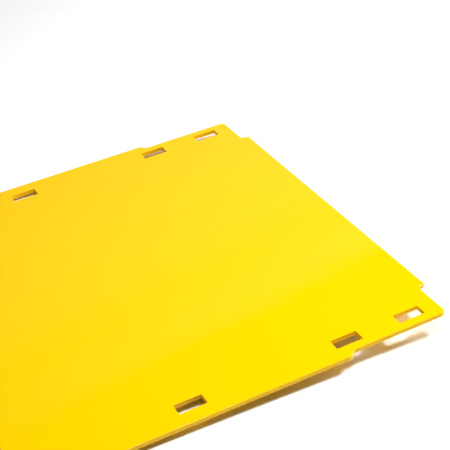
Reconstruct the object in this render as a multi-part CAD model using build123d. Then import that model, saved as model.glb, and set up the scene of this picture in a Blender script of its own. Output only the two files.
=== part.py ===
from build123d import *
import os

# A thin spine board: one stiff sandwich panel, bonded up from two skins and a layer of
# rails, stringers and foam between them, with a row of strap slots along each long side.
# Frame: +X along the board, +Y across it, +Z up out of its top face. The origin is at the
# middle of the underside. Both ends and both sides are the same. All lengths are in mm.

# outline
BOARD_LENGTH = 1853.5  # over the two tongues
BOARD_WIDTH = 430.0  # between the long sides
SIDE_STEP = 6.0  # how far each side steps in near an end
SIDE_SHOULDER = 11.0  # length of that step, an S of two arcs
SHOULDER_SETBACK = 106.2  # from the tongue's edge to the middle of the step
TONGUE_STEP = 8.0  # how far the tongue stands proud of the corners beside it
TONGUE_WIDTH = 330.0  # at the tongue's edge
TONGUE_SHOULDER = 2.0  # how far the tongue's flanks slant outwards
CORNER_RADIUS = 5.0
TONGUE_TIP_RADIUS = 1.5
TONGUE_ROOT_RADIUS = 1.5

# thickness, from the floor up
SKIN = 0.8
CORE = 2.8
EDGE_ROUND = 0.4  # round-over of a skin's outline, on its outer face
SLOT_ROUND = 0.2  # the same, round a slot

# strap slots, for 25 mm webbing
SLOT_LENGTH = 26.0
SLOT_WIDTH = 12.0
SLOT_CORNER = 0.8
SLOT_INSET = 20.5  # from the long side to a slot's middle
SLOT_PITCH = 150.0
SLOTS_AT_PITCH = 12  # in one row, evenly spaced about the middle
END_SLOT_PITCH = 64.0  # from the last of those to the slot in the corner

# the layer between the skins
RAIL_WIDTH = 40.0  # solid laminate along each long side, which the slots are cut through
END_RAIL_DEPTH = 34.0  # solid laminate across each end, to the tongue's edge
STRINGER_WIDTH = 18.0
STRINGERS = 4

HALF_LENGTH = BOARD_LENGTH / 2
HALF_WIDTH = BOARD_WIDTH / 2
CORNER_X = HALF_LENGTH - TONGUE_STEP
CORNER_Y = HALF_WIDTH - SIDE_STEP
SHOULDER_X = HALF_LENGTH - SHOULDER_SETBACK
SLOT_Y = HALF_WIDTH - SLOT_INSET
RAIL_INNER_Y = HALF_WIDTH - RAIL_WIDTH
END_RAIL_X = HALF_LENGTH - END_RAIL_DEPTH


def outline_quarter():
    """The edges from the middle of a long side round to the middle of an end."""
    shoulder_out = (SHOULDER_X - SIDE_SHOULDER / 2, HALF_WIDTH)
    shoulder_mid = (SHOULDER_X, HALF_WIDTH - SIDE_STEP / 2)
    shoulder_in = (SHOULDER_X + SIDE_SHOULDER / 2, CORNER_Y)
    tongue_root = (CORNER_X, TONGUE_WIDTH / 2 + TONGUE_SHOULDER)
    tongue_tip = (HALF_LENGTH, TONGUE_WIDTH / 2)
    side = Line((0, HALF_WIDTH), shoulder_out)
    outer_arc = TangentArc(shoulder_out, shoulder_mid, tangent=(1, 0))
    inner_arc = TangentArc(shoulder_in, shoulder_mid, tangent=(-1, 0))
    end = FilletPolyline(
        shoulder_in,
        (CORNER_X, CORNER_Y),
        tongue_root,
        tongue_tip,
        (HALF_LENGTH, 0),
        radius=[CORNER_RADIUS, TONGUE_ROOT_RADIUS, TONGUE_TIP_RADIUS],
    )
    return [side, outer_arc, inner_arc, *end.edges()]


def board_face():
    """The whole outline as a face, from one quarter and its mirror images."""
    half = outline_quarter()
    half += [mirror(edge, about=Plane.XZ) for edge in half]
    edges = half + [mirror(edge, about=Plane.YZ) for edge in half]
    return make_face(Wire.combine(edges)[0])


def slot_places():
    """Middles of all strap slots, row by row."""
    first = -SLOT_PITCH * (SLOTS_AT_PITCH - 1) / 2
    along = [first + SLOT_PITCH * i for i in range(SLOTS_AT_PITCH)]
    along = [first - END_SLOT_PITCH, *along, -first + END_SLOT_PITCH]
    return [(x, y) for y in (-SLOT_Y, SLOT_Y) for x in along]


def slotted(face):
    """A flat face with the strap slots cut out of it."""
    slots = Sketch() + [
        Pos(x, y) * RectangleRounded(SLOT_LENGTH, SLOT_WIDTH, SLOT_CORNER)
        for x, y in slot_places()
    ]
    return face - slots


def skin(bottom, outer_face):
    """One skin, with its slots and outline rounded over on its outer face: 0 lowest, -1 highest."""
    sheet = Pos(0, 0, bottom) * extrude(slotted(board_face()), SKIN)
    slots = sheet.faces().sort_by(Axis.Z)[outer_face].inner_wires()
    sheet = fillet([edge for slot in slots for edge in slot.edges()], SLOT_ROUND)
    outline = sheet.faces().sort_by(Axis.Z)[outer_face].outer_wire()
    return fillet(outline.edges(), EDGE_ROUND)


def core_layer(face):
    """A solid of the layer between the skins, from its plan."""
    return Pos(0, 0, SKIN) * extrude(face, CORE)


def strip(low_x, high_x, low_y, high_y):
    """A plain rectangle between the given limits."""
    middle = Pos((low_x + high_x) / 2, (low_y + high_y) / 2)
    return middle * Rectangle(high_x - low_x, high_y - low_y)


def side_rail(side):
    """The solid edge along one long side, between the end rails' outer corners."""
    inner, outer = sorted((side * RAIL_INNER_Y, side * HALF_WIDTH))
    lane = strip(-HALF_LENGTH, HALF_LENGTH, inner, outer)
    return core_layer(slotted(board_face() & lane))


def end_rail(end):
    """The solid edge across one end, fitted between the side rails."""
    inner, outer = sorted((end * END_RAIL_X, end * HALF_LENGTH))
    return core_layer(strip(inner, outer, -RAIL_INNER_Y, RAIL_INNER_Y) & board_face())


def stringer_middles():
    """Y of each stringer, so that the foam strips between them are equally wide."""
    foam_width = (2 * RAIL_INNER_Y - STRINGERS * STRINGER_WIDTH) / (STRINGERS + 1)
    first = -RAIL_INNER_Y + foam_width + STRINGER_WIDTH / 2
    return [first + i * (foam_width + STRINGER_WIDTH) for i in range(STRINGERS)]


def inner_strips():
    """Limits in Y of the stringers and of the foam strips between and beside them."""
    middles = stringer_middles()
    stringers = [(y - STRINGER_WIDTH / 2, y + STRINGER_WIDTH / 2) for y in middles]
    walls = [-RAIL_INNER_Y, *[y for pair in stringers for y in pair], RAIL_INNER_Y]
    return stringers, list(zip(walls[0::2], walls[1::2]))


def board_parts():
    """Every piece of the board by name."""
    stringers, foam = inner_strips()
    parts = {
        "bottom_skin": skin(0, 0),
        "top_skin": skin(SKIN + CORE, -1),
        "right_side_rail": side_rail(-1),
        "left_side_rail": side_rail(1),
        "head_end_rail": end_rail(1),
        "foot_end_rail": end_rail(-1),
    }
    for number, (low_y, high_y) in enumerate(stringers, start=1):
        parts[f"stringer_{number}"] = core_layer(strip(-END_RAIL_X, END_RAIL_X, low_y, high_y))
    for number, (low_y, high_y) in enumerate(foam, start=1):
        parts[f"foam_core_{number}"] = core_layer(strip(-END_RAIL_X, END_RAIL_X, low_y, high_y))
    return parts


os.makedirs("parts", exist_ok=True)
for name, shape in board_parts().items():
    export_step(shape, f"parts/{name}.step")
    print(name, len(shape.solids()), round(shape.volume), shape.bounding_box())
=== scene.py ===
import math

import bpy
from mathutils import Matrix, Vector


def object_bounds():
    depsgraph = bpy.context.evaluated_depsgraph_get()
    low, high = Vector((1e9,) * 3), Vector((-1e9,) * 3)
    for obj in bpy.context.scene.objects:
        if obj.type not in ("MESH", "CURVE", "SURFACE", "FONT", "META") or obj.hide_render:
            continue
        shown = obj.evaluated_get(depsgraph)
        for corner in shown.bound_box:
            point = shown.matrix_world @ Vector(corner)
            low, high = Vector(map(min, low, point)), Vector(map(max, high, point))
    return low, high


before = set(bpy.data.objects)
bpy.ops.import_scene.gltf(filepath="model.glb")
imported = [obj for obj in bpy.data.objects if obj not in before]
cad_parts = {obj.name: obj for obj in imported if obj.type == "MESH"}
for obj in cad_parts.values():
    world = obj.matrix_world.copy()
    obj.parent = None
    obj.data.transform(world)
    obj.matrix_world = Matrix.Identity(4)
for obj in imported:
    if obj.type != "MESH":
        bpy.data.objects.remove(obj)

# A glossy yellow spine board on a pale studio floor. The key light and a low fill stand beyond its
# +X end, a third light hangs over its -Y side and a broad one lights its -X half. A pale wall on
# its +Y side shows in its gloss, and a pale patch of ceiling lights the whole floor.
# All lengths are in metres, in the frame of the CAD model.

CAD_LOW, CAD_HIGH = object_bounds()
END_X = CAD_HIGH.x
SIDE_Y = CAD_HIGH.y
TOP_Z = CAD_HIGH.z

# camera
CAMERA_AIM = Vector((END_X - 0.10435, 0.0231, TOP_Z))  # the point of the top face in mid-picture
CAMERA_DISTANCE = 1.2432
CAMERA_AZIMUTH = -24.93
CAMERA_ELEVATION = 33.25
CAMERA_ROLL = -5.46
LENS = 100.96
SENSOR = 36.0

# floor
FLOOR_SIZE = 60.0
FLOOR_DIP = 0.014  # how far the floor lies below the board's ends, in the middle of its width
FLOOR_DIP_SLANT = 0.35  # how much more of that there is at the near side, and less at the far side
FLOOR_DIP_POWER = 3.3
FLOOR_STRIPS = 64
FLOOR_LEVELLING = 0.5  # how far past the board the floor takes to lie level again
FLOOR_LEVELLING_STRIPS = 24
FLOOR_COLOUR = (0.95, 0.945, 0.945)
FLOOR_PALER = (0.955, 0.95, 0.95)

# lights: azimuth is turned from +X towards +Y, and every light looks at the same aim
LIGHTS_AIM = Vector((0.8, -0.05, 0.0))
LIGHTS = {
    # name: (azimuth, elevation, distance, size, power)
    "key": (-4.0, 45.0, 2.2, 0.34, 40.0),
    "low_fill": (0.0, 14.0, 2.3, 0.9, 29.0),
    "far_half": (162.0, 51.0, 2.8, 1.6, 6.5),
    "overhead": (-80.0, 74.0, 0.9, 0.25, 5.0),
}

# the room that the gloss shows; a height is the Z of a unit vector that points to it
HORIZON_FADE = (0.03, 0.24)  # heights between which the pale horizon fades out
HORIZON_SIDE = (-0.9, 0.2)  # the Y of a direction, between which it grows from dim to full
HORIZON_DIM = 0.1
WALL_TURN = 7.5  # how far the wall on the +Y side is turned from the board's length, in degrees
WALL_RISE = [(0.0, 1.0), (0.7, 1.0), (0.79, 0.84), (0.822, 0.3), (0.84, 0.0)]  # rise, grey
WALL_ALONG = (0.0, 0.7)
WALL_GREY = (0.01, 0.33)
BAND_RISE = [(0.8, 0.0), (0.85, 0.8), (0.885, 1.0), (0.9, 0.75), (0.925, 0.0)]  # rise, grey
BAND_ALONG = (0.2, 0.8)
BAND_GREY = (0.0, 0.31)
CEILING_FADE = (0.76, 0.88)
CEILING_SIDE = (-0.2, 0.1)
CEILING_GREY = 0.8
NEVER_ZERO = 0.001

# colours
GELCOAT = (0.955, 0.552, 0.0005)
GELCOAT_PATCH = (0.935, 0.536, 0.0004)
GELCOAT_SPECK = (0.90, 0.50, 0.0004)
# paler colour for the rounded arrises: partly rubbed wear, partly a painted highlight of the arris
# catching the light
GELCOAT_RUBBED_AND_HIGHLIGHT = (0.97, 0.60, 0.012)
EDGE_PLY = (0.95, 0.56, 0.0015)
EDGE_PLY_DEEP = (0.90, 0.50, 0.001)
EDGE_MARK = (0.84, 0.45, 0.001)
FIBRE_DARK = (0.016, 0.016, 0.017)
FIBRE_PALE = (0.06, 0.06, 0.062)
FIBRE_TOW = (0.09, 0.09, 0.09)
FOAM_DEEP = (0.78, 0.70, 0.50)
FOAM_PALE = (0.86, 0.79, 0.61)
FOAM_TINT = (0.74, 0.64, 0.42)


def look_along(back, roll=0.0):
    """Rotation whose -Z axis points against back, turned by roll about it."""
    turn = (-back).to_track_quat("-Z", "Y").to_matrix()
    return (turn @ Matrix.Rotation(roll, 3, "Z")).to_4x4()


def direction(azimuth, elevation):
    """Unit vector at an azimuth from +X towards +Y and an elevation, both in degrees."""
    around = math.radians(azimuth)
    up = math.radians(elevation)
    return Vector((math.cos(around) * math.cos(up), math.sin(around) * math.cos(up), math.sin(up)))


def make_camera():
    back = direction(CAMERA_AZIMUTH - 90, CAMERA_ELEVATION)
    data = bpy.data.cameras.new("camera")
    data.sensor_width = SENSOR
    data.lens = LENS
    data.clip_start = 0.01
    data.clip_end = 200.0
    camera = bpy.data.objects.new("camera", data)
    bpy.context.collection.objects.link(camera)
    place = Matrix.Translation(CAMERA_AIM + back * CAMERA_DISTANCE)
    camera.matrix_world = place @ look_along(back, math.radians(CAMERA_ROLL))
    bpy.context.scene.camera = camera


def make_lights():
    """Square softboxes that all look at one point of the board."""
    for name, (azimuth, elevation, distance, size, power) in LIGHTS.items():
        back = direction(azimuth, elevation)
        data = bpy.data.lights.new(name, "AREA")
        data.shape = "SQUARE"
        data.size = size
        data.energy = power
        light = bpy.data.objects.new(name, data)
        bpy.context.collection.objects.link(light)
        light.matrix_world = Matrix.Translation(LIGHTS_AIM + back * distance) @ look_along(back)
        light.visible_camera = False


class Nodes:
    """Short hand for building a node tree."""

    def __init__(self, owner):
        owner.use_nodes = True
        self.tree = owner.node_tree
        self.tree.nodes.clear()

    def add(self, kind, inputs=(), **settings):
        """A new node, its inputs set from values or linked from sockets."""
        node = self.tree.nodes.new("ShaderNode" + kind)
        for key, value in settings.items():
            setattr(node, key, value)
        for key, value in dict(inputs).items():
            if isinstance(value, bpy.types.NodeSocket):
                self.tree.links.new(value, node.inputs[key])
            else:
                node.inputs[key].default_value = value
        return node

    def math(self, operation, *values):
        return self.add("Math", enumerate(values), operation=operation).outputs[0]

    def dot(self, vector, way):
        return self.add("VectorMath", {0: vector, 1: way}, operation="DOT_PRODUCT").outputs["Value"]

    def remap(self, value, low, high, to_low=0.0, to_high=1.0):
        """The value, taken smoothly and with clamping from one range to another."""
        inputs = {0: value, 1: low, 2: high, 3: to_low, 4: to_high}
        return self.add("MapRange", inputs, interpolation_type="SMOOTHSTEP").outputs[0]

    def line(self, value, low, high, to_low, to_high):
        """The same along a straight line."""
        return self.add("MapRange", {0: value, 1: low, 2: high, 3: to_low, 4: to_high}).outputs[0]

    def ramp(self, value, stops):
        """Grey levels along a value, from (position, level) stops."""
        node = self.add("ValToRGB", {0: value})
        ramp = node.color_ramp
        while len(ramp.elements) < len(stops):
            ramp.elements.new(0.5)
        for element, (position, level) in zip(ramp.elements, stops):
            element.position = position
            element.color = (level, level, level, 1)
        return node.outputs[0]

    def mix(self, factor, low, high):
        """A colour between two others."""
        inputs = {"Factor": factor, "A": low, "B": high}
        node = self.add("Mix", data_type="RGBA")
        for key, value in inputs.items():
            socket = next(s for s in node.inputs if s.name == key and s.enabled)
            if isinstance(value, bpy.types.NodeSocket):
                self.tree.links.new(value, socket)
            elif isinstance(value, tuple):
                socket.default_value = (*value, 1)
            else:
                socket.default_value = value
        return next(s for s in node.outputs if s.enabled)

    def place(self, scale=(1, 1, 1)):
        """Position on the object, stretched along each axis."""
        coords = self.add("TexCoord").outputs["Object"]
        return self.add("Mapping", {"Vector": coords, "Scale": scale}).outputs[0]

    def noise(self, vector, scale, detail=2.0):
        return self.add("TexNoise", {"Vector": vector, "Scale": scale, "Detail": detail}).outputs[0]

    def bump(self, height, distance, below=None):
        """Normals of a height field, on top of those of another."""
        inputs = {"Height": height, "Distance": distance, "Strength": 1.0}
        if below:
            inputs["Normal"] = below
        return self.add("Bump", inputs).outputs[0]


def make_world():
    """A studio: pale along the horizon, with a pale wall on the +Y side and a pale patch overhead."""
    world = bpy.data.worlds.new("studio")
    bpy.context.scene.world = world
    n = Nodes(world)
    way = n.add("TexCoord").outputs["Generated"]
    across = n.dot(way, (0, 1, 0))
    height = n.dot(way, (0, 0, 1))
    horizon = n.remap(height, *HORIZON_FADE, 1.0, 0.0)
    horizon = n.math("MULTIPLY", horizon, n.remap(across, *HORIZON_SIDE, HORIZON_DIM, 1.0))

    # places on the wall, as heights and lengths at a distance of one
    towards = n.math("MAXIMUM", n.dot(way, direction(90 + WALL_TURN, 0)), NEVER_ZERO)
    rise = n.math("DIVIDE", height, towards)
    along = n.math("DIVIDE", n.dot(way, direction(WALL_TURN, 0)), towards)
    wall = n.math("MULTIPLY", n.ramp(rise, WALL_RISE), n.line(along, *WALL_ALONG, *WALL_GREY))
    band = n.math("MULTIPLY", n.ramp(rise, BAND_RISE), n.line(along, *BAND_ALONG, *BAND_GREY))

    ceiling = n.remap(height, *CEILING_FADE, 0.0, CEILING_GREY)
    ceiling = n.math("MULTIPLY", ceiling, n.remap(across, *CEILING_SIDE))
    inside = n.math("MAXIMUM", n.math("ADD", wall, band), ceiling)
    light = n.math("MAXIMUM", horizon, inside)
    background = n.add("Background", {"Color": (1, 1, 1, 1), "Strength": light})
    n.add("OutputWorld", {"Surface": background.outputs[0]})


def floor_dip(x):
    """How far the floor lies below the underside at x, growing to the board's end, then level."""
    dip = FLOOR_DIP * min(1.0, abs(x) / END_X) ** FLOOR_DIP_POWER
    past = min(1.0, max(0.0, abs(x) - END_X) / FLOOR_LEVELLING)
    end_slope = FLOOR_DIP * FLOOR_DIP_POWER / END_X
    return dip + end_slope * FLOOR_LEVELLING * (past - past ** 2 / 2)


def floor_slant(y):
    """Share of the floor's slant at y: even across the board, then levelling off beside it."""
    past = min(1.0, max(0.0, abs(y) - SIDE_Y) / FLOOR_LEVELLING)
    across = min(1.0, abs(y) / SIDE_Y) + FLOOR_LEVELLING / SIDE_Y * (past - past ** 2 / 2)
    return math.copysign(across, y)


def make_floor():
    """A pale floor that dips gently under the ends of the board."""
    half = FLOOR_SIZE / 2
    steps = [FLOOR_LEVELLING * (i + 1) / FLOOR_LEVELLING_STRIPS for i in range(FLOOR_LEVELLING_STRIPS)]
    inner = [END_X * (2 * i / FLOOR_STRIPS - 1) for i in range(FLOOR_STRIPS + 1)]
    past_end = [END_X + step for step in steps]
    columns = [-half, *[-x for x in reversed(past_end)], *inner, *past_end, half]
    past_side = [SIDE_Y + step for step in steps]
    rows = [-half, *[-y for y in reversed(past_side)], -SIDE_Y, SIDE_Y, *past_side, half]
    points = []
    for x in columns:
        for y in rows:
            share = 1 - FLOOR_DIP_SLANT * floor_slant(y)
            points.append((x, y, -floor_dip(x) * share))
    faces = []
    for column in range(len(columns) - 1):
        for row in range(len(rows) - 1):
            first = column * len(rows) + row
            faces.append((first, first + len(rows), first + len(rows) + 1, first + 1))
    mesh = bpy.data.meshes.new("floor")
    mesh.from_pydata(points, [], faces)
    mesh.shade_smooth()
    floor = bpy.data.objects.new("floor", mesh)
    bpy.context.collection.objects.link(floor)
    mesh.materials.append(floor_paper())


def finish_material(n, colour, roughness, normal, **uniform):
    """The shader that ends a material, with values that are the same all over it."""
    inputs = {"Base Color": colour, "Roughness": roughness, "Normal": normal}
    inputs.update({key.replace("_", " "): value for key, value in uniform.items()})
    shader = n.add("BsdfPrincipled", inputs)
    n.add("OutputMaterial", {"Surface": shader.outputs[0]})


def floor_paper():
    """Matt seamless paper with a fine tooth."""
    material = bpy.data.materials.new("floor_paper")
    n = Nodes(material)
    tooth = n.noise(n.place(), 900.0)
    roughness = n.remap(tooth, 0.3, 0.7, 0.85, 0.95)
    colour = n.mix(tooth, FLOOR_COLOUR, FLOOR_PALER)
    finish_material(n, colour, roughness, n.bump(tooth, 0.00005))
    return material


def yellow_gelcoat():
    """Glossy polished gelcoat: even colour, slight orange peel and ripple, hairline scuffs."""
    material = bpy.data.materials.new("yellow_gelcoat")
    n = Nodes(material)
    place = n.place()
    patches = n.noise(place, 9.0)
    specks = n.noise(place, 260.0, 4.0)
    colour = n.mix(patches, GELCOAT, GELCOAT_PATCH)
    colour = n.mix(n.remap(specks, 0.62, 0.78, 0.0, 0.35), colour, GELCOAT_SPECK)

    # A paler line along the rounded arrises, broken up by noise: partly rubbed wear, partly a painted
    # highlight standing in for the light that the arris catches
    upright = n.math("ABSOLUTE", n.dot(n.add("NewGeometry").outputs["True Normal"], (0, 0, 1)))
    arris = n.math("MULTIPLY", n.remap(upright, 0.15, 0.4), n.remap(upright, 0.9, 0.99, 1.0, 0.0))
    rubbed_and_highlight = n.math("MULTIPLY", arris, n.remap(n.noise(place, 90.0, 5.0), 0.35, 0.6, 0.15, 0.6))
    colour = n.mix(rubbed_and_highlight, colour, GELCOAT_RUBBED_AND_HIGHLIGHT)

    hairlines = n.noise(n.place((7.0, 1300.0, 1.0)), 1.0, 3.0)
    crossed = n.noise(n.place((900.0, 60.0, 1.0)), 1.0, 3.0)
    scuffs = n.math("MAXIMUM", n.remap(hairlines, 0.66, 0.8), n.remap(crossed, 0.72, 0.84))
    worn = n.remap(n.noise(place, 6.0, 3.0), 0.42, 0.62)
    scuffs = n.math("MULTIPLY", scuffs, worn)
    smudges = n.remap(n.noise(place, 22.0, 4.0), 0.35, 0.7, 0.02, 0.04)
    roughness = n.math("ADD", smudges, n.math("MULTIPLY", scuffs, 0.16))

    ripple = n.bump(n.noise(place, 12.0, 1.0), 0.0001)
    peel = n.bump(n.noise(place, 380.0, 1.0), 0.0000035, ripple)
    scratched = n.bump(scuffs, -0.000002, peel)
    finish_material(n, colour, roughness, scratched)
    return material


def edge_laminate():
    """Solid yellow laminate, its cut edge showing thin plies and the cutter's marks."""
    material = bpy.data.materials.new("edge_laminate")
    n = Nodes(material)
    plies = n.noise(n.place((6.0, 6.0, 2600.0)), 1.0, 2.0)
    marks = n.noise(n.place((1500.0, 1500.0, 20.0)), 1.0, 2.0)
    colour = n.mix(n.remap(plies, 0.35, 0.65), EDGE_PLY, EDGE_PLY_DEEP)
    colour = n.mix(n.remap(marks, 0.6, 0.8, 0.0, 0.4), colour, EDGE_MARK)
    roughness = n.remap(marks, 0.3, 0.7, 0.4, 0.6)
    normal = n.bump(plies, 0.00002, n.bump(marks, 0.00001))
    finish_material(n, colour, roughness, normal, Specular_IOR_Level=0.1)
    return material


def stringer_laminate():
    """Dark fibre laminate, its fibres running along the board."""
    material = bpy.data.materials.new("stringer_laminate")
    n = Nodes(material)
    fibres = n.noise(n.place((12.0, 2200.0, 2200.0)), 1.0, 3.0)
    tows = n.noise(n.place((3.0, 240.0, 240.0)), 1.0, 2.0)
    colour = n.mix(fibres, FIBRE_DARK, FIBRE_PALE)
    colour = n.mix(n.remap(tows, 0.45, 0.7, 0.0, 0.5), colour, FIBRE_TOW)
    roughness = n.remap(fibres, 0.3, 0.7, 0.3, 0.55)
    finish_material(n, colour, roughness, n.bump(fibres, 0.00002))
    return material


def core_foam():
    """Pale rigid foam with fine closed cells."""
    material = bpy.data.materials.new("core_foam")
    n = Nodes(material)
    cells = n.add("TexVoronoi", {"Vector": n.place(), "Scale": 1500.0}).outputs["Distance"]
    tint = n.noise(n.place(), 40.0, 3.0)
    colour = n.mix(cells, FOAM_DEEP, FOAM_PALE)
    colour = n.mix(n.remap(tint, 0.4, 0.7, 0.0, 0.4), colour, FOAM_TINT)
    roughness = n.remap(cells, 0.1, 0.6, 0.7, 0.9)
    finish_material(n, colour, roughness, n.bump(cells, 0.0001))
    return material


def give_materials():
    """Each node's material, by the part of the board that it is."""
    by_name = {
        "skin": yellow_gelcoat(),
        "rail": edge_laminate(),
        "stringer": stringer_laminate(),
        "foam": core_foam(),
    }
    for node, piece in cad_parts.items():
        material = next(finish for word, finish in by_name.items() if word in node)
        piece.data.materials.clear()
        piece.data.materials.append(material)


make_camera()
make_world()
make_lights()
make_floor()
give_materials()
bpy.context.scene.view_settings.view_transform = "Standard"
